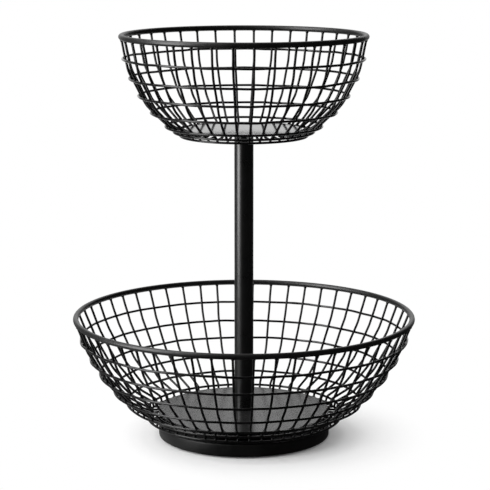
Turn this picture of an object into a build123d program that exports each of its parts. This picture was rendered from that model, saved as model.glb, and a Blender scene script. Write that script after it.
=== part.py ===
from build123d import *
import os
from math import atan2, cos, degrees, radians, tan

# A two-tier wire basket for fruit or bread, in millimetres, +Z up.
# The origin is on the floor under the post's axis. A round foot carries a wide wire bowl,
# a steel post stands in the middle of it and holds a smaller wire bowl at its top.
# Each bowl is a welded lattice: upright ribs on the inside, hoops around the outside,
# a thick rim rod on the ribs' top ends and a sheet plate on their turned-in lower ends.

os.makedirs("parts", exist_ok=True)

# Wire and rod that both bowls are welded from
wire = 2.2
rim_rod = 5.5
weld_gap = 0.02
wire_sides = 4
rim_sides = 8

# Lower bowl
lower_bowl_diameter = 341.5
lower_bowl_depth = 98.7
lower_rib_count = 54
lower_plate_diameter = 172.0
lower_plate_margin = 9.4
lower_plate_overlap = 8.0

# Upper bowl
upper_bowl_diameter = 244.7
upper_bowl_depth = 93.2
upper_rib_count = 38
upper_plate_diameter = 114.0
upper_plate_margin = 5.3
upper_plate_overlap = 7.0

# Bends of the ribs from the rim down, each as its share of the way out from the lowest bend
# to the rim and its share of the bowl's depth. The base bends also hold a hoop each. The last
# one lies a little below the plate, and the ribs' ends rise from it to the plate's underside.
lower_wall_shares = ((0.857, 0.707), (0.584, 0.3675), (0.280, 0.136))
lower_base_shares = ((0.007, 0.038), (0.0, -0.015))
upper_wall_shares = ((0.892, 0.650), (0.598, 0.295), (0.227, 0.0745))
upper_base_shares = ((0.0, -0.018),)

# Heights of the other hoops, from the top one down, as shares of the bowl's depth
lower_hoop_shares = (0.799, 0.610, 0.442, 0.276, 0.136)
upper_hoop_shares = (0.773, 0.577, 0.392, 0.221, 0.0745, 0.0215)

# Sheet steel plates in the bowls' bottoms
plate_thickness = 1.5

# Foot, as wide as the plate above it, the hub on it that this plate is clamped on, and the
# rubber pads underneath
foot_diameter = lower_plate_diameter
foot_thickness = 12.3
foot_edge_break = 1.2
hub_diameter = 60.0
hub_height = 11.0
pad_side = 12.0
pad_thickness = 1.5
pad_inset = 6.0
pad_count = 4

# Post: a round tube with a tapped hexagonal plug pressed into each end
post_diameter = 19.0
post_wall = 1.2
post_length = 283.7
plug_length = 16.0
plug_gap = 0.02

# Bolt up through the foot, and the stud under the upper plate, both of one thread
thread_diameter = 6.0
thread_gap = 0.05
bolt_hole_gap = 0.3
bolt_engagement = 12.0
head_across = 10.0
head_height = 4.0
head_recess = 1.0
counterbore_diameter = 18.0
stud_length = 12.0

# Heights that follow from the stack of pieces, from the floor up
foot_bottom = pad_thickness
foot_top = foot_bottom + foot_thickness
lower_plate_bottom = foot_top + hub_height
post_bottom = lower_plate_bottom + plate_thickness
post_top = post_bottom + post_length
upper_plate_bottom = post_top
lower_seat = lower_plate_bottom - wire / 2
upper_seat = upper_plate_bottom - wire / 2
bolt_seat = foot_bottom + head_recess + head_height


def finish(piece, name):
    """Label a finished piece and write it under its name."""
    piece.part.label = name
    export_step(piece.part, f"parts/{name}.step")


def rib_path(rim_radius, bend_radius, end_radius, seat, depth, bend_shares):
    """Centre line of a rib in the XZ plane, from the rim's underside to its turned-in end."""
    path = [Vector(rim_radius, 0, seat + depth - rim_rod / 2)]
    for out, up in bend_shares:
        path.append(Vector(bend_radius + (rim_radius - bend_radius) * out, 0, seat + depth * up))
    path.append(Vector(end_radius, 0, seat))
    return path


def outward(upper, lower):
    """Direction square to a straight span of a rib, pointing out of the bowl."""
    return (lower - upper).cross(Vector(0, 1, 0)).normalized()


def beside_span(path, height):
    """Centre of a hoop that lies on a straight span of the wall, and the way it faces."""
    for upper, lower in zip(path, path[1:]):
        if upper.Z > height >= lower.Z:
            contact = lower + (upper - lower) * ((height - lower.Z) / (upper.Z - lower.Z))
            square_out = outward(upper, lower)
            return contact + square_out * (wire + weld_gap), square_out


def beside_bend(before, bend, after):
    """Centre of a hoop that lies on a bend, around its outside or nestled into its inside."""
    out_before = outward(before, bend)
    out_after = outward(bend, after)
    square_out = (out_before + out_after).normalized()
    half_turn = radians(out_before.get_angle(out_after)) / 2
    reach = wire / 2 / cos(half_turn) + wire / 2 + weld_gap
    if out_after.Z > out_before.Z:
        reach += wire / 2 * tan(half_turn)
    return bend + square_out * reach, square_out


def ring(radius, height, across, sides, facing, spans):
    """A rod bent round in as many straight spans as the bowl has ribs, one behind each rib."""
    step = 360 / spans
    corner_radius = radius / cos(radians(step / 2))
    corner = Vector(corner_radius, 0, height)
    corners = [corner.rotate(Axis.Z, (span + 0.5) * step) for span in range(spans)]
    section_plane = Plane(origin=(radius, 0, height), x_dir=(1, 0, 0), z_dir=(0, -1, 0))
    with BuildPart() as bent_rod:
        with BuildLine() as path:
            Polyline((radius, 0, height), *corners, close=True)
        with BuildSketch(section_plane):
            RegularPolygon(across / 2, sides, major_radius=False, rotation=facing + 180 / sides)
        sweep(path=path.wire(), transition=Transition.RIGHT)
    return bent_rod


def make_rim(name, path, spans):
    """The thick rod around the mouth, on the top ends of the ribs."""
    rim = ring(path[0].X, path[0].Z + rim_rod / 2, rim_rod, rim_sides, 90, spans)
    finish(rim, f"{name}_rim")


def make_hoops(name, path, spans, wall_heights, base_bends):
    """The thin hoops welded around the outside of the ribs, numbered from the top down."""
    places = [beside_span(path, height) for height in wall_heights]
    first = len(path) - 1 - base_bends
    for number in range(first, len(path) - 1):
        places.append(beside_bend(*path[number - 1 : number + 2]))
    for number, (centre, square_out) in enumerate(places, start=1):
        facing = degrees(atan2(square_out.Z, square_out.X))
        finish(ring(centre.X, centre.Z, wire, wire_sides, facing, spans), f"{name}_hoop_{number}")


def make_ribs(name, path, count):
    """The upright wires, all alike, cut level under the rim and spaced evenly around the bowl."""
    start = (path[0] - path[1]).normalized()
    top = path[0] + start * rim_rod
    with BuildPart() as rib:
        with BuildLine() as line:
            Polyline(top, *path[1:])
        with BuildSketch(Plane(origin=top, x_dir=(0, 1, 0), z_dir=-start)):
            RegularPolygon(wire / 2, wire_sides, major_radius=False, rotation=180 / wire_sides)
        sweep(path=line.wire(), transition=Transition.RIGHT)
        split(bisect_by=Plane.XY.offset(path[0].Z - weld_gap), keep=Keep.BOTTOM)
    with BuildPart() as ribs:
        with PolarLocations(0, count):
            add(rib.part)
    finish(ribs, f"{name}_ribs")


# Rubber pads: die-cut squares, stuck on the flat underside of the foot
pad_circle = foot_diameter / 2 - pad_inset - pad_side / 2
with BuildPart() as foot_pads:
    with BuildSketch():
        with PolarLocations(pad_circle, pad_count, start_angle=180 / pad_count):
            Rectangle(pad_side, pad_side)
    extrude(amount=pad_thickness)
finish(foot_pads, "foot_pads")

# Foot: a turned disc with an eased upper edge, a hub in its middle and a hole for the bolt
with BuildPart() as foot:
    with BuildSketch(Plane.XY.offset(foot_bottom)):
        Circle(foot_diameter / 2)
    extrude(amount=foot_thickness)
    chamfer(foot.edges().group_by(Axis.Z)[-1], foot_edge_break)
    with BuildSketch(Plane.XY.offset(foot_top)):
        Circle(hub_diameter / 2)
    extrude(amount=hub_height)
    with Locations(Plane(origin=(0, 0, foot_bottom), z_dir=(0, 0, -1))):
        CounterBoreHole(
            thread_diameter / 2 + bolt_hole_gap,
            counterbore_diameter / 2,
            head_recess + head_height,
        )
finish(foot, "foot")

# Bolt: a hexagon head, and a shank up through the foot and the plate into the post's plug
with BuildPart() as base_bolt:
    with BuildSketch(Plane.XY.offset(foot_bottom + head_recess)):
        RegularPolygon(head_across / 2, 6, major_radius=False)
    extrude(amount=head_height)
    with BuildSketch(Plane.XY.offset(bolt_seat)):
        Circle(thread_diameter / 2)
    extrude(amount=post_bottom + bolt_engagement - bolt_seat)
finish(base_bolt, "base_bolt")

# Lower plate: a round sheet, drilled for the bolt, clamped between the hub and the post
with BuildPart() as lower_plate:
    with BuildSketch(Plane.XY.offset(lower_plate_bottom)):
        Circle(lower_plate_diameter / 2)
        Circle(thread_diameter / 2 + bolt_hole_gap, mode=Mode.SUBTRACT)
    extrude(amount=plate_thickness)
finish(lower_plate, "lower_plate")

# Post: a straight tube between the two plates
with BuildPart() as post:
    with BuildSketch(Plane.XY.offset(post_bottom)):
        Circle(post_diameter / 2)
        Circle(post_diameter / 2 - post_wall, mode=Mode.SUBTRACT)
    extrude(amount=post_length)
finish(post, "post")

# Plugs: lengths of tapped hexagon bar whose corners bite into the tube, flush with its ends
plug_radius = post_diameter / 2 - post_wall - plug_gap
for name, bottom in (("post_bottom_plug", post_bottom), ("post_top_plug", post_top - plug_length)):
    with BuildPart() as plug:
        with BuildSketch(Plane.XY.offset(bottom)):
            RegularPolygon(plug_radius, 6)
            Circle(thread_diameter / 2 + thread_gap, mode=Mode.SUBTRACT)
        extrude(amount=plug_length)
    finish(plug, name)

# Stud: welded under the upper plate, screwed down into the post's upper plug
with BuildPart() as upper_stud:
    with BuildSketch(Plane.XY.offset(upper_plate_bottom - stud_length)):
        Circle(thread_diameter / 2)
    extrude(amount=stud_length)
finish(upper_stud, "upper_stud")

# Upper plate: a plain round sheet with no hole, so no fastener shows in the bowl
with BuildPart() as upper_plate:
    with BuildSketch(Plane.XY.offset(upper_plate_bottom)):
        Circle(upper_plate_diameter / 2)
    extrude(amount=plate_thickness)
finish(upper_plate, "upper_plate")

# Lower bowl: the welded lattice of rim, hoops and ribs around its plate
lower_path = rib_path(
    (lower_bowl_diameter - rim_rod) / 2,
    lower_plate_diameter / 2 + lower_plate_margin,
    lower_plate_diameter / 2 - lower_plate_overlap,
    lower_seat,
    lower_bowl_depth,
    lower_wall_shares + lower_base_shares,
)
lower_hoop_heights = [lower_seat + lower_bowl_depth * share for share in lower_hoop_shares]
make_rim("lower", lower_path, lower_rib_count)
make_hoops("lower", lower_path, lower_rib_count, lower_hoop_heights, len(lower_base_shares))
make_ribs("lower", lower_path, lower_rib_count)

# Upper bowl: the same lattice, smaller and steeper
upper_path = rib_path(
    (upper_bowl_diameter - rim_rod) / 2,
    upper_plate_diameter / 2 + upper_plate_margin,
    upper_plate_diameter / 2 - upper_plate_overlap,
    upper_seat,
    upper_bowl_depth,
    upper_wall_shares + upper_base_shares,
)
upper_hoop_heights = [upper_seat + upper_bowl_depth * share for share in upper_hoop_shares]
make_rim("upper", upper_path, upper_rib_count)
make_hoops("upper", upper_path, upper_rib_count, upper_hoop_heights, len(upper_base_shares))
make_ribs("upper", upper_path, upper_rib_count)
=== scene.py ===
import bmesh
import bpy
from math import cos, pi, radians, sin, tan
from mathutils import Matrix, Vector


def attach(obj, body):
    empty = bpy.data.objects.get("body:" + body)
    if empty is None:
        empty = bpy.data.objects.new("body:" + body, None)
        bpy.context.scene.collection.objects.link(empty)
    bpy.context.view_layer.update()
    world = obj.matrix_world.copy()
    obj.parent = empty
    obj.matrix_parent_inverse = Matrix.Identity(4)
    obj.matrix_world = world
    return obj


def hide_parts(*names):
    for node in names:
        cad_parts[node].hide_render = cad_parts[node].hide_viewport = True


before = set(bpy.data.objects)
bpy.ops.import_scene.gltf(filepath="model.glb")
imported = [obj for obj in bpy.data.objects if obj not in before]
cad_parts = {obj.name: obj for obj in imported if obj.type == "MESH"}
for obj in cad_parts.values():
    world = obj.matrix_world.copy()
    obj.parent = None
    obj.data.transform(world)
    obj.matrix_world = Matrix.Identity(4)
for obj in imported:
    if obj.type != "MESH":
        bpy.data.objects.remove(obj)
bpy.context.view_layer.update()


# Rubber pads: four squares of black sheet rubber, die-cut with slightly rounded edges and
# stuck on the flat underside of the foot, a little in from its rim.

def feed(tree, sockets, feeds):
    """Join each socket to what feeds it, or set it to a plain value."""
    for socket, value in feeds.items():
        if isinstance(value, bpy.types.NodeSocket):
            tree.links.new(value, sockets[socket])
        else:
            sockets[socket].default_value = value


def add_node(tree, kind, feeds=None, **settings):
    """A node of a tree, with its settings and what feeds each of its sockets."""
    node = tree.nodes.new(kind)
    for setting, value in settings.items():
        setattr(node, setting, value)
    feed(tree, node.inputs, feeds or {})
    return node


def reckon(tree, operation, *values, **settings):
    """The number that one sum makes of its values."""
    feeds = dict(enumerate(values))
    return add_node(tree, "ShaderNodeMath", feeds, operation=operation, **settings).outputs[0]


def spread(tree, value, low, high, least=0.0, most=1.0, **settings):
    """A value moved from the range low to high into the range least to most, and held there."""
    feeds = {"Value": value, "From Min": low, "From Max": high, "To Min": least, "To Max": most}
    return add_node(tree, "ShaderNodeMapRange", feeds, **settings).outputs[0]


def between(tree, share, first, second):
    """A colour that goes from the first to the second as the share goes from 0 to 1."""
    return add_node(tree, "ShaderNodeMix", {0: share, 6: first, 7: second}, data_type="RGBA").outputs[2]


def new_tree(name, kind, takes, gives):
    """An empty node group with named inputs and outputs, and what its two ends offer."""
    tree = bpy.data.node_groups.new(name, kind)
    for side, sockets in (("INPUT", takes), ("OUTPUT", gives)):
        for label, sort in sockets.items():
            tree.interface.new_socket(label, in_out=side, socket_type="NodeSocket" + sort)
    return tree, tree.nodes.new("NodeGroupInput").outputs, tree.nodes.new("NodeGroupOutput").inputs


def stacked_rings(outline, levels, closed=False):
    """A smooth skin over rings of one outline, each level giving a ring's size and height.
    A level of size zero is a pole, and a closed stack joins its last ring to its first."""
    form = bmesh.new()
    rings = []
    for size, height in levels:
        if size:
            rings.append([form.verts.new((x * size, y * size, height)) for x, y in outline])
        else:
            rings.append([form.verts.new((0, 0, height))] * len(outline))
    for lower, upper in zip(rings, rings[1:] + rings[:1] if closed else rings[1:]):
        for here in range(len(outline)):
            after = (here + 1) % len(outline)
            corners = (lower[here], lower[after], upper[after], upper[here])
            form.faces.new([v for n, v in enumerate(corners) if v not in corners[:n]])
    bmesh.ops.recalc_face_normals(form, faces=form.faces)
    for face in form.faces:
        face.smooth = True
    skin = bpy.data.meshes.new("skin")
    form.to_mesh(skin)
    form.free()
    return skin


def show(name, skin):
    """A piece of the basket, at the origin, with its place in its mesh."""
    piece = bpy.data.objects.new(name, skin)
    bpy.context.scene.collection.objects.link(piece)
    return piece


def shaped_by(tree, name, start, **sizes):
    """A piece that a tree shapes from a starting mesh, kept as a plain mesh."""
    piece = show(name, start)
    shaping = piece.modifiers.new("shaping", "NODES")
    shaping.node_group = tree
    for socket in tree.interface.items_tree:
        label = socket.name.lower().replace(" ", "_")
        if socket.in_out == "INPUT" and label in sizes:
            shaping[socket.identifier] = sizes[label]
    ready = piece.evaluated_get(bpy.context.evaluated_depsgraph_get())
    made = bpy.data.meshes.new_from_object(ready)
    piece.modifiers.remove(shaping)
    piece.data = made
    return piece


def fine_surface():
    """Grain, patches and sheen that more than one finish has."""
    tree, takes, gives = new_tree(
        "fine_surface",
        "ShaderNodeTree",
        {"Place": "Vector", "Grain": "Float", "Patches": "Float", "Least": "Float", "Most": "Float"},
        {"Height": "Float", "Roughness": "Float", "Tint": "Float"},
    )
    grain = add_node(
        tree, "ShaderNodeTexNoise",
        {"Vector": takes["Place"], "Scale": takes["Grain"], "Detail": 3.0, "Roughness": 0.6},
    ).outputs["Fac"]
    pebble = add_node(
        tree, "ShaderNodeTexVoronoi", {"Vector": takes["Place"], "Scale": takes["Grain"]},
        feature="SMOOTH_F1",
    ).outputs["Distance"]
    cloud = add_node(
        tree, "ShaderNodeTexNoise",
        {"Vector": takes["Place"], "Scale": takes["Patches"], "Detail": 4.0, "Roughness": 0.62},
    ).outputs["Fac"]
    mottle = reckon(tree, "MULTIPLY_ADD", grain, 0.5, cloud)
    feed(tree, gives, {
        "Height": reckon(tree, "MULTIPLY_ADD", pebble, 0.6, grain),
        "Roughness": spread(tree, mottle, 0.55, 0.95, takes["Least"], takes["Most"]),
        "Tint": spread(tree, cloud, 0.35, 0.68),
    })
    return tree


surface = fine_surface()


def coated(name, dark, light, grain, patches, roughness, relief, depth, **looks):
    """A finish with its colour, roughness and normal from the fine surface. Its grain and its
    patches are counted to the metre, and its relief is how strongly a depth shows."""
    material = bpy.data.materials.new(name)
    material.use_nodes = True
    tree = material.node_tree
    shader = tree.nodes["Principled BSDF"].inputs
    place = add_node(tree, "ShaderNodeTexCoord").outputs["Object"]
    least, most = roughness
    skin = add_node(
        tree, "ShaderNodeGroup",
        {"Place": place, "Grain": grain, "Patches": patches, "Least": least, "Most": most},
        node_tree=surface,
    ).outputs
    bump = add_node(tree, "ShaderNodeBump", {"Strength": relief, "Distance": depth, "Height": skin["Height"]})
    feed(tree, shader, {
        "Base Color": between(tree, skin["Tint"], (*dark, 1), (*light, 1)),
        "Roughness": skin["Roughness"],
        "Normal": bump.outputs["Normal"],
        **looks,
    })
    return material


def set_around():
    """Copies of a shape set evenly around the upright axis, each a little off its place."""
    tree, takes, gives = new_tree(
        "set_around",
        "GeometryNodeTree",
        {"Shape": "Geometry", "Count": "Int", "First Turn": "Float", "Uneven": "Float", "Seed": "Int"},
        {"Set": "Geometry"},
    )
    spots = add_node(tree, "GeometryNodeMeshLine", {"Count": takes["Count"], "Offset": (0, 0, 0)})
    number = add_node(tree, "GeometryNodeInputIndex").outputs[0]
    slip = add_node(
        tree, "FunctionNodeRandomValue", {2: -1.0, 3: 1.0, "ID": number, "Seed": takes["Seed"]},
    ).outputs[1]
    pitch = reckon(tree, "DIVIDE", 2 * pi, takes["Count"])
    even = reckon(tree, "MULTIPLY_ADD", number, pitch, takes["First Turn"])
    turn = reckon(tree, "MULTIPLY_ADD", slip, takes["Uneven"], even)
    upright = add_node(tree, "ShaderNodeCombineXYZ", {"Z": turn}).outputs[0]
    facing = add_node(tree, "FunctionNodeEulerToRotation", {0: upright}).outputs[0]
    copies = add_node(
        tree, "GeometryNodeInstanceOnPoints",
        {"Points": spots.outputs[0], "Instance": takes["Shape"], "Rotation": facing},
    )
    feed(tree, gives, {"Set": copies.outputs[0]})
    return tree


around = set_around()


def painted(tree, shape, finish):
    """A shape and its copies as one plain mesh of one material."""
    whole = add_node(tree, "GeometryNodeRealizeInstances", {0: shape}).outputs[0]
    return add_node(tree, "GeometryNodeSetMaterial", {0: whole, "Material": finish}).outputs[0]


def pads_around():
    """A pad set around the foot."""
    tree, takes, gives = new_tree(
        "pads_around",
        "GeometryNodeTree",
        {"Shape": "Geometry", "Count": "Int", "Turn": "Float", "Finish": "Material"},
        {"Pads": "Geometry"},
    )
    placed = add_node(
        tree, "GeometryNodeGroup",
        {"Shape": takes["Shape"], "Count": takes["Count"], "First Turn": takes["Turn"]},
        node_tree=around,
    ).outputs[0]
    feed(tree, gives, {"Pads": painted(tree, placed, takes["Finish"])})
    return tree


foot_radius = 0.086
pad_count = 4
pad_half = 0.006
pad_thickness = 0.0015
pad_inset = 0.006
pad_corner = 0.15
corner_steps = 4

# Each point of a pad's edge is a share of its half width and a height above the table.
pad_edge = (
    (0.9, 0), (0.97, 0.0001), (1, 0.0004), (0.99, 0.0009), (1, 0.0013), (0.985, pad_thickness),
)

rubber = coated(
    "pad_rubber", dark=(0.020, 0.020, 0.021), light=(0.034, 0.033, 0.032), grain=2200.0, patches=160.0,
    roughness=(0.78, 0.94), relief=0.5, depth=0.00012, IOR=1.45,
)

square = []
reach = (1 - pad_corner) / cos(pi / 4)
for corner in range(4):
    middle = pi / 4 + corner * pi / 2
    for step in range(corner_steps + 1):
        turn = middle + (step / corner_steps - 0.5) * pi / 2
        square.append((
            reach * cos(middle) + pad_corner * cos(turn),
            reach * sin(middle) + pad_corner * sin(turn),
        ))
pad = stacked_rings(square, [
    (0, 0), *((pad_half * share, height) for share, height in pad_edge), (0, pad_thickness),
])
pad.transform(Matrix.Translation((foot_radius - pad_inset - pad_half, 0, 0)))
foot_pads = shaped_by(pads_around(), "rubber_pads", pad, count=pad_count, turn=pi / 4, finish=rubber)
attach(foot_pads, "root")
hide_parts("foot_pads")


# Foot: one thick turned disc of close-grained board with eased edges and a hub on top,
# counterbored from below for the bolt, sealed and sprayed satin black.

def eased(radius, height, ease, up, steps=4):
    """A quarter round that turns a disc's flat face into its side, facing up or down."""
    turns = [pi / 2 * n / steps for n in range(steps + 1)]
    return [(radius + ease * (sin(t) - 1), height + up * ease * (cos(t) - 1)) for t in turns]


foot_thickness = 0.0123
foot_ease = 0.0013
foot_flat = foot_radius - foot_ease * 1.4
hub_radius = 0.030
hub_height = 0.011
hub_root = 0.0006
hub_edge = 0.0003
bolt_hole = 0.0033
hole_margin = 0.0005
counterbore = 0.009
counterbore_root = 0.0001
counterbore_edge = 0.0004
bolt_seat = 0.0065
foot_top = pad_thickness + foot_thickness
plate_bottom = foot_top + hub_height
round_steps = 200

lacquer = coated(
    "foot_lacquer", dark=(0.0016, 0.0016, 0.0016), light=(0.0034, 0.0033, 0.0031), grain=900.0,
    patches=45.0, roughness=(0.34, 0.48), relief=0.30, depth=0.00012, IOR=1.36,
)

# A second ring close inside each edge keeps the flat faces shading flat.
circle = [(cos(2 * pi * n / round_steps), sin(2 * pi * n / round_steps)) for n in range(round_steps)]
foot = show("round_foot", stacked_rings(circle, [
    (bolt_hole, bolt_seat),
    (counterbore - counterbore_root, bolt_seat),
    (counterbore, bolt_seat - counterbore_root),
    (counterbore, pad_thickness + counterbore_edge),
    (counterbore + counterbore_edge, pad_thickness),
    (counterbore + counterbore_edge * 2, pad_thickness),
    (foot_flat, pad_thickness),
    *eased(foot_radius, pad_thickness, foot_ease, -1),
    *reversed(eased(foot_radius, foot_top, foot_ease, 1)),
    (foot_flat, foot_top),
    (hub_radius + hub_root * 2, foot_top),
    (hub_radius + hub_root, foot_top),
    (hub_radius, foot_top + hub_root),
    (hub_radius, foot_top + hub_root * 2),
    (hub_radius, plate_bottom - hub_edge * 2),
    (hub_radius, plate_bottom - hub_edge),
    (hub_radius - hub_edge, plate_bottom),
    (hub_radius - hub_edge * 2, plate_bottom),
    (bolt_hole + hole_margin, plate_bottom),
    (bolt_hole, plate_bottom),
], closed=True))
foot.data.materials.append(lacquer)
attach(foot, "root")
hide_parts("foot")


# Bolt: a zinc-plated hexagon bolt, with its head in the counterbore under the foot. It runs
# up through the foot and the lower plate and screws into the plug in the post's lower end.

zinc = coated(
    "zinc_plate", dark=(0.50, 0.50, 0.48), light=(0.62, 0.62, 0.60), grain=1500.0, patches=220.0,
    roughness=(0.28, 0.44), relief=0.25, depth=0.00008, Metallic=1.0,
)
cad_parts["base_bolt"].material_slots[0].material = zinc


# Lower plate: a round of sheet steel, drilled for the bolt and clamped between the foot's hub
# and the post. Its black powder coat is thicker than the wires' and shows a fine pebble.

plate_thickness = 0.0015
plate_ease = 0.0003
lower_plate_radius = 0.086

# Its base colour is lighter than the wires' though it is the same black coat: a painted sheen that adds to
# the plate's grazing reflection.
sheet_coat = coated(
    "sheet_coat", dark=(0.013, 0.013, 0.013), light=(0.019, 0.019, 0.019), grain=1100.0,
    patches=110.0, roughness=(0.20, 0.26), relief=0.28, depth=0.00008, IOR=1.43,
)


def sheet_round(name, radius, bottom, hole, finish):
    """A flat round of sheet with broken edges, drilled in the middle if it has a hole."""
    top = bottom + plate_thickness
    inner = hole + hole_margin
    broken = (
        (plate_ease * 2, 0), (plate_ease, 0), (plate_ease * 0.3, plate_ease * 0.3), (0, plate_ease),
    )
    piece = show(name, stacked_rings(circle, [
        (hole, bottom),
        (inner, bottom),
        *((radius - inward, bottom + rise) for inward, rise in broken),
        *((radius - inward, top - drop) for inward, drop in reversed(broken)),
        (inner, top),
        (hole, top),
    ], closed=hole > 0))
    piece.data.materials.append(finish)
    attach(piece, "root")
    return piece


lower_sheet = sheet_round("lower_sheet", lower_plate_radius, plate_bottom, bolt_hole, sheet_coat)
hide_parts("lower_plate")


# Lower bowl: ribs of drawn wire, each bent down the wall, in at the bottom and under the
# plate, with wire hoops welded round their outsides and a rim rod welded on their ends.

wire = 0.0024
wire_sides = 10
rim_rod = 0.0055
rim_sides = 20
rib_run = 0.0024
bend_steps = 5
wall_bend = 0.028
base_bend = 0.0013
hoop_steps = 240
rim_steps = 360
weld_bead = 0.00135
rim_bead = 0.0017
weld_sink = 0.0003
rim_sink = 0.0006
butt_swelling = 0.12
butt_reach = 0.006
first_butt = 20
next_butt = 47
rim_butt = 115
rib_slip = 0.0045
hand_wander = 0.0011
wander_reach = 0.034
still_above_plate = 0.014
still_below_rim = 0.016

wire_coat = coated(
    "wire_coat", dark=(0.0010, 0.0010, 0.0010), light=(0.0024, 0.0024, 0.0024), grain=1600.0,
    patches=90.0, roughness=(0.14, 0.20), relief=0.20, depth=0.00008, IOR=1.42,
)
rod_coat = coated(
    "rod_coat", dark=(0.0010, 0.0010, 0.0010), light=(0.0024, 0.0024, 0.0024), grain=1300.0,
    patches=60.0, roughness=(0.34, 0.42), relief=0.30, depth=0.00010, IOR=1.52,
)

hand_sockets = {label: "Float" for label in ("Wander", "Reach", "Plate", "Rim", "Seed")}


def steady_hand():
    """Small wanderings of bent wire, which die out at the plate and at the rim."""
    tree, takes, gives = new_tree(
        "steady_hand", "GeometryNodeTree", {"Wires": "Geometry", **hand_sockets}, {"Wires": "Geometry"},
    )
    place = add_node(tree, "GeometryNodeInputPosition").outputs[0]
    height = add_node(tree, "ShaderNodeSeparateXYZ", {0: place}).outputs["Z"]
    fineness = reckon(tree, "DIVIDE", 1.0, takes["Reach"])
    drift = add_node(
        tree, "ShaderNodeTexNoise",
        {"Vector": place, "W": takes["Seed"], "Scale": fineness, "Detail": 1.0},
        noise_dimensions="4D",
    ).outputs["Color"]
    centred = add_node(tree, "ShaderNodeVectorMath", {0: drift, 1: (0.5, 0.5, 0.5)}, operation="SUBTRACT")
    clear = reckon(tree, "ADD", takes["Plate"], still_above_plate)
    under = reckon(tree, "SUBTRACT", takes["Rim"], still_below_rim)
    low = spread(tree, height, takes["Plate"], clear, interpolation_type="SMOOTHSTEP")
    high = spread(tree, height, takes["Rim"], under, interpolation_type="SMOOTHSTEP")
    free = reckon(tree, "MULTIPLY", low, high)
    much = reckon(tree, "MULTIPLY", reckon(tree, "MULTIPLY", free, takes["Wander"]), 2.0)
    shift = add_node(
        tree, "ShaderNodeVectorMath", {0: centred.outputs[0], "Scale": much}, operation="SCALE",
    )
    moved = add_node(tree, "GeometryNodeSetPosition", {0: takes["Wires"], "Offset": shift.outputs[0]})
    feed(tree, gives, {"Wires": moved.outputs[0]})
    return tree


hand = steady_hand()


def by_hand(tree, takes, wires):
    """Wires that a hand has bent, in a tree that takes the hand's own sockets."""
    feeds = {"Wires": wires, **{label: takes[label] for label in hand_sockets}}
    return add_node(tree, "GeometryNodeGroup", feeds, node_tree=hand).outputs[0]


def round_rod(tree, curve, thickness, sides, more):
    """A smooth round rod of one thickness along a curve."""
    half = reckon(tree, "MULTIPLY", thickness, 0.5)
    section = add_node(tree, "GeometryNodeCurvePrimitiveCircle", {"Resolution": sides, "Radius": half})
    feeds = {"Curve": curve, "Profile Curve": section.outputs[0], **more}
    return add_node(tree, "GeometryNodeCurveToMesh", feeds).outputs[0]


def welded_ribs():
    """Ribs set around the bowl from one bent line, with a bead of weld at each spare point."""
    tree, takes, gives = new_tree(
        "welded_ribs",
        "GeometryNodeTree",
        {"Line": "Geometry", "Wire": "Float", "Count": "Int", "Uneven": "Float", "Slip": "Int",
         **hand_sockets, "Finish": "Material"},
        {"Ribs": "Geometry"},
    )
    bend = add_node(tree, "GeometryNodeInputNamedAttribute", {"Name": "bend"}).outputs[0]
    bead = add_node(tree, "GeometryNodeInputNamedAttribute", {"Name": "bead"}).outputs[0]
    strokes = add_node(tree, "GeometryNodeMeshToCurve", {0: takes["Line"]}).outputs[0]
    bent = add_node(
        tree, "GeometryNodeFilletCurve",
        {"Curve": strokes, "Count": bend_steps, "Radius": bend, "Limit Radius": True}, mode="POLY",
    ).outputs[0]
    even = add_node(
        tree, "GeometryNodeResampleCurve", {"Curve": bent, "Length": rib_run}, mode="LENGTH",
    ).outputs[0]
    joined = add_node(tree, "GeometryNodeInputMeshVertexNeighbors").outputs[0]
    spare = reckon(tree, "LESS_THAN", joined, 0.5)
    spots = add_node(
        tree, "GeometryNodeSeparateGeometry", {0: takes["Line"], "Selection": spare},
    ).outputs[0]
    wandered = []
    for shape in (even, spots):
        placed = add_node(
            tree, "GeometryNodeGroup",
            {"Shape": shape, "Count": takes["Count"], "Uneven": takes["Uneven"], "Seed": takes["Slip"]},
            node_tree=around,
        ).outputs[0]
        whole = add_node(tree, "GeometryNodeRealizeInstances", {0: placed}).outputs[0]
        wandered.append(by_hand(tree, takes, whole))
    lines, spots = wandered
    ribs = round_rod(tree, lines, takes["Wire"], wire_sides, {"Fill Caps": True})
    drop = add_node(tree, "GeometryNodeMeshUVSphere", {"Segments": 8, "Rings": 5, "Radius": 1.0}).outputs[0]
    beads = add_node(
        tree, "GeometryNodeInstanceOnPoints", {"Points": spots, "Instance": drop, "Scale": bead},
    ).outputs[0]
    both = add_node(tree, "GeometryNodeJoinGeometry", {0: ribs})
    feed(tree, both.inputs, {0: beads})
    smooth = add_node(tree, "GeometryNodeSetShadeSmooth", {0: both.outputs[0]}).outputs[0]
    feed(tree, gives, {"Ribs": painted(tree, smooth, takes["Finish"])})
    return tree


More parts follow.
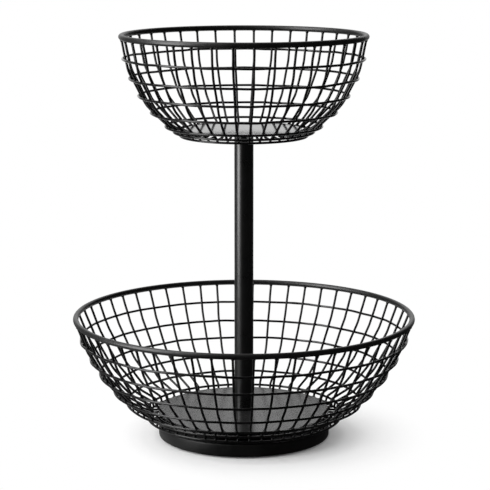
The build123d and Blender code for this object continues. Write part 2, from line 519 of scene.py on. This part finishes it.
def bent_ring():
    """A rod bent round into a ring and butt-welded, with a slight swelling at the weld."""
    tree, takes, gives = new_tree(
        "bent_ring",
        "GeometryNodeTree",
        {"Start": "Geometry", "Rod": "Float", "Radius": "Float", "Height": "Float", "Sides": "Int",
         "Steps": "Int", "Weld Turn": "Float", "Swelling": "Float", **hand_sockets, "Finish": "Material"},
        {"Ring": "Geometry"},
    )
    ring = add_node(
        tree, "GeometryNodeCurvePrimitiveCircle",
        {"Resolution": takes["Steps"], "Radius": takes["Radius"]},
    ).outputs[0]
    lift = add_node(tree, "ShaderNodeCombineXYZ", {"Z": takes["Height"]}).outputs[0]
    raised = add_node(tree, "GeometryNodeSetPosition", {0: ring, "Offset": lift}).outputs[0]
    across = reckon(tree, "COSINE", takes["Weld Turn"])
    along = reckon(tree, "SINE", takes["Weld Turn"])
    way = add_node(tree, "ShaderNodeCombineXYZ", {"X": across, "Y": along}).outputs[0]
    out = add_node(tree, "ShaderNodeVectorMath", {0: way, "Scale": takes["Radius"]}, operation="SCALE")
    weld = add_node(tree, "ShaderNodeVectorMath", {0: out.outputs[0], 1: lift}, operation="ADD")
    place = add_node(tree, "GeometryNodeInputPosition").outputs[0]
    away = add_node(tree, "ShaderNodeVectorMath", {0: place, 1: weld.outputs[0]}, operation="DISTANCE")
    swollen = reckon(tree, "ADD", takes["Swelling"], 1.0)
    size = spread(
        tree, away.outputs["Value"], 0.0, butt_reach, swollen, 1.0, interpolation_type="SMOOTHSTEP",
    )
    rod = round_rod(tree, by_hand(tree, takes, raised), takes["Rod"], takes["Sides"], {"Scale": size})
    smooth = add_node(tree, "GeometryNodeSetShadeSmooth", {0: rod}).outputs[0]
    feed(tree, gives, {"Ring": painted(tree, smooth, takes["Finish"])})
    return tree


rib_tree = welded_ribs()
ring_tree = bent_ring()


def rib_line(rim_radius, bend_radius, end_radius, seat, depth, bend_shares):
    """Corners of a rib's centre line, from the rim's underside to its turned-in end. Each pair
    of shares places a bend, on the way out to the rim and on the way up to it."""
    line = [Vector((rim_radius, 0, seat + depth - rim_rod / 2))]
    for out, up in bend_shares:
        line.append(Vector((bend_radius + (rim_radius - bend_radius) * out, 0, seat + depth * up)))
    return line + [Vector((end_radius, 0, seat))]


def outward(upper, lower):
    """Direction square to a straight run of a rib, pointing out of the bowl."""
    return (lower - upper).cross(Vector((0, 1, 0))).normalized()


def beside_wall(line, height):
    """Where a hoop lies on the wall at a height, and the weld between it and the rib."""
    for upper, lower in zip(line, line[1:]):
        if upper.z > height >= lower.z:
            contact = lower + (upper - lower) * ((height - lower.z) / (upper.z - lower.z))
            square_out = outward(upper, lower)
            return contact + square_out * wire, contact + square_out * wire / 2


def beside_bend(before, bend, after):
    """Where a hoop lies on one of a rib's base bends, and the weld between the two."""
    out_before, out_after = outward(before, bend), outward(bend, after)
    square_out = (out_before + out_after).normalized()
    half_turn = out_before.angle(out_after) / 2
    reach = wire / 2 / cos(half_turn) + wire / 2
    nestled = out_after.z > out_before.z
    reach += wire / 2 * tan(half_turn) if nestled else -weld_sink
    return bend + square_out * reach, bend + square_out * (reach - wire / 2 - weld_sink)


def rib_start(line, welds, base_bends):
    """A rib's line as a mesh, with a bend's radius at each corner, and a spare point with a
    bead's radius at each weld. Its top is sunk into the rim's weld."""
    top = line[0] + (line[0] - line[1]).normalized() * rim_sink
    corners = [top, *line[1:]]
    walls = len(corners) - 1 - base_bends
    start = bpy.data.meshes.new("rib_line")
    start.from_pydata(
        [*corners, line[0], *welds], [(n, n + 1) for n in range(len(corners) - 1)], [],
    )
    for name, first, values in (
        ("bend", 0, [wall_bend] * walls + [base_bend] * (base_bends + 1)),
        ("bead", len(corners), [rim_bead] + [weld_bead] * len(welds)),
    ):
        radii = start.attributes.new(name, "FLOAT", "POINT").data
        for number, value in enumerate(values, start=first):
            radii[number].value = value
    return start


def make_bowl(side, line, count, seat, depth, hoop_shares, base_bends, seed):
    """The welded lattice of one bowl, from its rib line and the heights of its hoops."""
    hoops = [beside_wall(line, seat + depth * share) for share in hoop_shares]
    for number in range(len(line) - 1 - base_bends, len(line) - 1):
        hoops.append(beside_bend(*line[number - 1 : number + 2]))
    ease = {"reach": wander_reach, "plate": seat, "rim": line[0].z, "seed": seed}
    start = rib_start(line, [weld for hoop, weld in hoops], base_bends)
    pieces = [(shaped_by(
        rib_tree, f"{side}_rib_wires", start, wire=wire, count=count, uneven=rib_slip,
        slip=int(seed), finish=wire_coat, wander=hand_wander, **ease,
    ), "ribs")]
    blank = bpy.data.meshes.new("blank")
    for number, (hoop, weld) in enumerate(hoops, start=1):
        pieces.append((shaped_by(
            ring_tree, f"{side}_hoop_wire_{number}", blank, rod=wire, radius=hoop.x, height=hoop.z,
            sides=wire_sides, steps=hoop_steps, weld_turn=radians(first_butt + next_butt * number + seed),
            swelling=butt_swelling, finish=wire_coat, wander=hand_wander, **ease,
        ), f"hoop_{number}"))
    pieces.append((shaped_by(
        ring_tree, f"{side}_rim_rod", blank, rod=rim_rod, radius=line[0].x,
        height=line[0].z + rim_rod / 2, sides=rim_sides, steps=rim_steps,
        weld_turn=radians(rim_butt), swelling=0.0, finish=rod_coat, wander=0.0, **ease,
    ), "rim"))
    for piece, node in pieces:
        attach(piece, "root")
        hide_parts(f"{side}_{node}")


lower_rib_count = 54
lower_depth = 0.0988
lower_seat = plate_bottom - wire / 2
lower_rim_radius = 0.1680
lower_margin = 0.0094
lower_overlap = 0.008
lower_bend_shares = (
    (0.857, 0.707), (0.584, 0.3675), (0.280, 0.136), (0.007, 0.038), (0.0, -0.015),
)
lower_hoop_shares = (0.799, 0.610, 0.442, 0.276, 0.136)
make_bowl(
    "lower",
    rib_line(
        lower_rim_radius, lower_plate_radius + lower_margin, lower_plate_radius - lower_overlap,
        lower_seat, lower_depth, lower_bend_shares,
    ),
    count=lower_rib_count, seat=lower_seat, depth=lower_depth, hoop_shares=lower_hoop_shares,
    base_bends=2, seed=3.0,
)


# Post: a length of straight steel tube, cut square and coated black like the wires, with
# tapped plugs of zinc-plated hexagon bar pressed into its ends.

post_radius = 0.0095
post_bore = 0.0083
post_length = 0.2837
post_bottom = plate_bottom + plate_thickness
post_top = post_bottom + post_length
post_ease = 0.0003
post_runs = 24

tube_coat = coated(
    "tube_coat", dark=(0.0008, 0.0008, 0.0008), light=(0.0020, 0.0020, 0.0020), grain=1300.0,
    patches=40.0, roughness=(0.26, 0.34), relief=0.20, depth=0.00008, IOR=1.62,
)

post_run = (post_top - post_bottom - post_ease * 4) / post_runs
post = show("post_tube", stacked_rings(circle[::4], [
    (post_bore, post_bottom),
    (post_radius - post_ease, post_bottom),
    (post_radius, post_bottom + post_ease),
    *((post_radius, post_bottom + post_ease * 2 + post_run * n) for n in range(post_runs + 1)),
    (post_radius, post_top - post_ease),
    (post_radius - post_ease, post_top),
    (post_bore, post_top),
], closed=True))
post.data.materials.append(tube_coat)
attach(post, "root")
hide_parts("post")
for plug in ("post_bottom_plug", "post_top_plug"):
    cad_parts[plug].material_slots[0].material = zinc


# Upper plate: the smaller round of the same sheet, with no hole, because its zinc-plated
# stud is welded on from below and screws down into the post. Its coat lies smoother.

upper_plate_radius = 0.057

# The same lighter base as the lower sheet: a painted sheen on what is the wires' black coat.
smooth_coat = coated(
    "smooth_sheet_coat", dark=(0.013, 0.013, 0.013), light=(0.019, 0.019, 0.019), grain=1100.0,
    patches=110.0, roughness=(0.06, 0.12), relief=0.12, depth=0.00006, IOR=1.58,
)

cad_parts["upper_stud"].material_slots[0].material = zinc
upper_sheet = sheet_round("upper_sheet", upper_plate_radius, post_top, 0, smooth_coat)
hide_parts("upper_plate")


# Upper bowl: the same welded lattice of wire as the lower one, smaller and steeper, with its
# ribs' ends welded under the upper plate on the post's top.

upper_rib_count = 38
upper_depth = 0.0933
upper_seat = post_top - wire / 2
upper_rim_radius = 0.1196
upper_margin = 0.0053
upper_overlap = 0.007
upper_bend_shares = ((0.892, 0.650), (0.598, 0.295), (0.227, 0.0745), (0.0, -0.018))
upper_hoop_shares = (0.773, 0.577, 0.392, 0.221, 0.0745, 0.0215)
make_bowl(
    "upper",
    rib_line(
        upper_rim_radius, upper_plate_radius + upper_margin, upper_plate_radius - upper_overlap,
        upper_seat, upper_depth, upper_bend_shares,
    ),
    count=upper_rib_count, seat=upper_seat, depth=upper_depth, hoop_shares=upper_hoop_shares,
    base_bends=1, seed=8.0,
)


# Floor: a wide sheet of matt white paper, which shows the basket's shadow near it and runs
# out into plain white further away. In gloss the paper glows instead with a painted reflection
# of the studio walls: white behind, a window's glow at the left, dark in front and to the right.

def studio_walls():
    """How bright the studio is each way round the basket: a white wall behind it, a window's
    glow at the left and dark cloths elsewhere."""
    tree, takes, gives = new_tree(
        "studio_walls", "ShaderNodeTree", {"Way": "Vector"}, {"Glow": "Color"},
    )
    way = add_node(tree, "ShaderNodeSeparateXYZ", {0: takes["Way"]})
    turn = reckon(tree, "ARCTAN2", way.outputs["X"], way.outputs["Y"])
    walls = add_node(tree, "ShaderNodeValToRGB", {0: spread(tree, turn, -pi, pi)})
    glows = (
        (0.06, 0.03), (0.14, 0.45), (0.22, 0.45), (0.30, 0.20),
        (0.40, 0.20), (0.46, 1.0), (0.54, 1.0), (0.60, 0.03),
    )
    ramp = walls.color_ramp
    ramp.interpolation = "EASE"
    while len(ramp.elements) < len(glows):
        ramp.elements.new(1.0)
    for stop, (share, glow) in zip(ramp.elements, glows):
        stop.position, stop.color = share, (glow, glow, glow, 1)
    feed(tree, gives, {"Glow": walls.outputs[0]})
    return tree


def seen_in_gloss(tree, ray):
    """Whether a ray comes off gloss or through something clear."""
    return reckon(tree, "ADD", ray["Is Glossy Ray"], ray["Is Transmission Ray"], use_clamp=True)


white = (1, 1, 1, 1)
paper_white = (0.90, 0.90, 0.90, 1)
paper_roughness = 0.9
fibre_grain = 900.0
fibre_relief = 0.05
fibre_depth = 0.0001
shadow_radius = 0.07
plain_radius = 0.19
floor_side = 30

walls = studio_walls()

paper = bpy.data.materials.new("paper_sweep")
paper.use_nodes = True
tree = paper.node_tree
sheet = tree.nodes["Principled BSDF"]
place = add_node(tree, "ShaderNodeTexCoord").outputs["Object"]
fibre = add_node(tree, "ShaderNodeTexNoise", {"Vector": place, "Scale": fibre_grain}).outputs["Fac"]
bump = add_node(
    tree, "ShaderNodeBump", {"Strength": fibre_relief, "Distance": fibre_depth, "Height": fibre},
)
feed(tree, sheet.inputs, {
    "Base Color": paper_white, "Roughness": paper_roughness, "Normal": bump.outputs["Normal"],
})
ray = add_node(tree, "ShaderNodeLightPath").outputs
mirrored = seen_in_gloss(tree, ray)
away = add_node(tree, "ShaderNodeVectorMath", {0: place}, operation="LENGTH").outputs["Value"]
plain = spread(tree, away, shadow_radius, plain_radius, interpolation_type="SMOOTHSTEP")
share = reckon(tree, "MULTIPLY_ADD", ray["Is Camera Ray"], plain, mirrored, use_clamp=True)
# Painted reflection: gloss sees the paper glow with the studio walls' brightness, set by where each spot of
# paper lies round the basket.
studio = add_node(tree, "ShaderNodeGroup", {"Way": place}, node_tree=walls).outputs[0]
glow = add_node(
    tree, "ShaderNodeEmission", {"Color": between(tree, mirrored, white, studio), "Strength": 1.0},
)
mixed = add_node(tree, "ShaderNodeMixShader", {0: share, 1: sheet.outputs[0], 2: glow.outputs[0]})
feed(tree, tree.nodes["Material Output"].inputs, {"Surface": mixed.outputs[0]})

bpy.ops.mesh.primitive_plane_add(size=floor_side)
floor = bpy.context.object
floor.name = "paper_floor"
floor.data.materials.append(paper)


# Light: one tall soft box at the left, a square one high above it, and a room that is white
# behind the basket and darker in front of it and to its right.

def soft_box(name, place, aim, width, height, watts):
    """An area lamp that points at a place."""
    lamp = bpy.data.lights.new(name, "AREA")
    lamp.shape = "RECTANGLE"
    lamp.size, lamp.size_y, lamp.energy = width, height, watts
    box = bpy.data.objects.new(name, lamp)
    box.location = place
    box.rotation_euler = (Vector(aim) - Vector(place)).to_track_quat("-Z", "Y").to_euler()
    bpy.context.scene.collection.objects.link(box)


soft_box(
    "left_box", place=(-0.95, -0.40, 0.47), aim=(0, 0, 0.42), width=0.56, height=0.92, watts=12.5,
)
soft_box(
    "high_box", place=(-1.00, -0.05, 1.55), aim=(0, 0, 0.25), width=0.9, height=0.9, watts=15.0,
)

room_fill = (0.65, 0.65, 0.65, 1)

room = bpy.data.worlds.new("studio")
bpy.context.scene.world = room
room.use_nodes = True
tree = room.node_tree
ray = add_node(tree, "ShaderNodeLightPath").outputs
way = add_node(tree, "ShaderNodeTexCoord").outputs["Generated"]
studio = add_node(tree, "ShaderNodeGroup", {"Way": way}, node_tree=walls).outputs[0]
room_light = between(tree, seen_in_gloss(tree, ray), room_fill, studio)
feed(tree, tree.nodes["Background"].inputs, {
    "Color": between(tree, ray["Is Camera Ray"], room_light, white), "Strength": 1.0,
})


# Camera: a long lens 1.8 m in front of the post and a little above the upper rim, pitched
# down, as it was fitted to the rims and the hoops.

film_width = 36
lens_length = 135.11
camera_place = (0.00108, -1.800, 0.5305)
pitch_down = 10.56

lens = bpy.data.cameras.new("camera")
lens.sensor_width = film_width
lens.lens = lens_length
camera = bpy.data.objects.new("camera", lens)
camera.location = camera_place
camera.rotation_euler = (radians(90 - pitch_down), 0, 0)
bpy.context.scene.collection.objects.link(camera)
bpy.context.scene.camera = camera

bpy.context.scene.view_settings.view_transform = "Standard"
